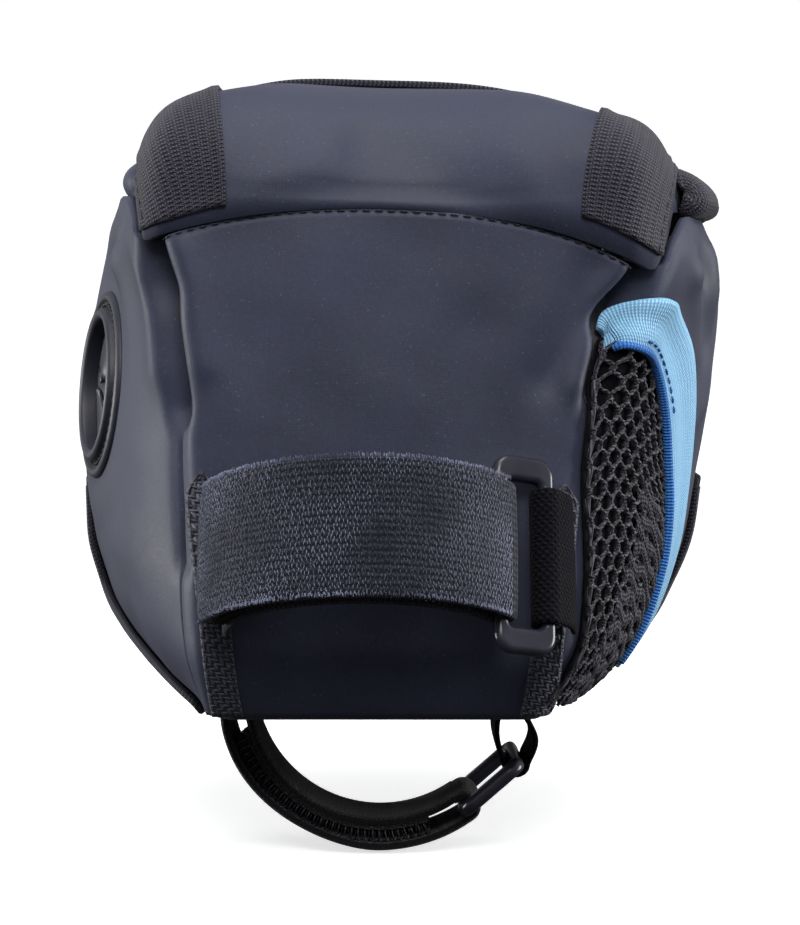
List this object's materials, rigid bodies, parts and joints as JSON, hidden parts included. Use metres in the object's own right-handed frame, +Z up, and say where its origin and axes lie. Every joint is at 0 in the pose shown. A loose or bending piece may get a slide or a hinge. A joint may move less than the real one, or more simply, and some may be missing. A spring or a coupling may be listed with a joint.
{
  "type": "bicycle top-tube bag",
  "caption": "Small padded bicycle frame bag with a hinged zip lid, side mesh pocket, cable port and two hook-and-loop straps.",
  "frame": {"origin": "centre of the grip pad's underside, which rests on the frame tube", "axes": "+X to the right seen from the front, +Y to the rear along the tube, +Z up"},
  "size_m": [0.1347, 0.2217, 0.1505],
  "materials": {
    "coated_fabric": "matte coated",
    "woven_tape": "ribbed weave",
    "coarse_nylon": "coarse weave",
    "loop_webbing": "loop pile",
    "hook_tape": "hooks",
    "anchor_webbing": "ribbed weave",
    "moulded_black": "semi-gloss moulded",
    "port_rubber": "matte moulded",
    "black_fabric": "smooth coated",
    "mesh": "open knit",
    "blue_elastic": "ribbed elastic",
    "window_film": "clear soft film",
    "foam": "closed cell",
    "lining": "plain weave",
    "board": "sheet",
    "zip_tape": "woven",
    "zip_teeth": "coil",
    "slider_metal": "satin",
    "pull_webbing": "soft moulded",
    "grip_rubber": "textured"
  },
  "bodies": {
    "root": {"base_board": "board", "base_boot": "black_fabric", "base_foam": "foam", "base_grip_pad": "grip_rubber", "base_panel": "black_fabric", "body_lining": "lining", "bottom_hook_tape": "hook_tape", "bottom_ring_anchor": "anchor_webbing", "bottom_strap": "loop_webbing", "cable_port": "port_rubber", "cable_port_flaps": "port_rubber", "front_binding_left": "coarse_nylon", "front_binding_right": "coarse_nylon", "front_foam": "foam", "front_hook_tape": "hook_tape", "front_panel": "coated_fabric", "front_ring_anchor": "anchor_webbing", "front_strap": "loop_webbing", "left_foam": "foam", "left_side_panel": "coated_fabric", "mesh_pocket": "mesh", "pocket_binding": "blue_elastic", "rear_foam": "foam", "rear_panel": "coated_fabric", "right_foam": "foam", "right_side_panel": "coated_fabric", "zipper_tape_lower": "zip_tape", "zipper_teeth_lower": "zip_teeth"},
    "lid": {"lid_brow": "coated_fabric", "lid_edge_tape_left": "woven_tape", "lid_edge_tape_right": "woven_tape", "lid_skirt": "coated_fabric", "lid_top": "coated_fabric", "lid_window": "window_film", "lid_window_border": "woven_tape", "zipper_guard_left": "woven_tape", "zipper_guard_right": "woven_tape", "zipper_tape_upper": "zip_tape", "zipper_teeth_upper": "zip_teeth"},
    "left_slider": {"zipper_slider_left": "slider_metal"},
    "left_pull": {"zipper_pull_left": "pull_webbing"},
    "right_slider": {"zipper_slider_right": "slider_metal"},
    "right_pull": {"zipper_pull_right": "pull_webbing"},
    "front_ring": {"front_ring": "moulded_black"},
    "front_tail": {"front_strap_tail": "loop_webbing"},
    "bottom_ring": {"bottom_ring": "moulded_black"},
    "bottom_tail": {"bottom_strap_tail": "loop_webbing"}
  },
  "joints": [
    {"name": "lid_hinge", "type": "hinge", "parent": "root", "child": "lid", "pos_m": [0, -0.0925, 0.094], "axis": [1, 0, 0], "range_deg": [0, 110]},
    {"name": "left_slider_slide", "type": "slide", "parent": "root", "child": "left_slider", "axis": [-1, 0, 0], "range_m": [0, 0.03]},
    {"name": "right_slider_slide", "type": "slide", "parent": "root", "child": "right_slider", "axis": [1, 0, 0], "range_m": [0, 0.03]},
    {"name": "left_pull_swing", "type": "hinge", "parent": "left_slider", "child": "left_pull", "pos_m": [-0.008, 0.0962, 0.10402], "axis": [1, 0, 0], "range_deg": [0, 160]},
    {"name": "right_pull_swing", "type": "hinge", "parent": "right_slider", "child": "right_pull", "pos_m": [0.008, 0.0962, 0.10402], "axis": [1, 0, 0], "range_deg": [0, 160]},
    {"name": "front_ring_swing", "type": "hinge", "parent": "root", "child": "front_ring", "pos_m": [0.0263, -0.09939, 0.0309], "axis": [0, 0.2924, 0.9563], "range_deg": [0, 15]},
    {"name": "front_strap_peel", "type": "hinge", "parent": "front_ring", "child": "front_tail", "pos_m": [0.01774, -0.10339, 0.03213], "axis": [0, 0.2924, 0.9563], "range_deg": [0, 110]},
    {"name": "bottom_ring_swing", "type": "hinge", "parent": "root", "child": "bottom_ring", "pos_m": [0.0226, -0.047, -0.0105], "axis": [0, -1, 0], "range_deg": [0, 15]},
    {"name": "bottom_strap_peel", "type": "hinge", "parent": "bottom_ring", "child": "bottom_tail", "pos_m": [0.01272, -0.047, -0.01902], "axis": [0, -1, 0], "range_deg": [0, 150]}
  ]
}
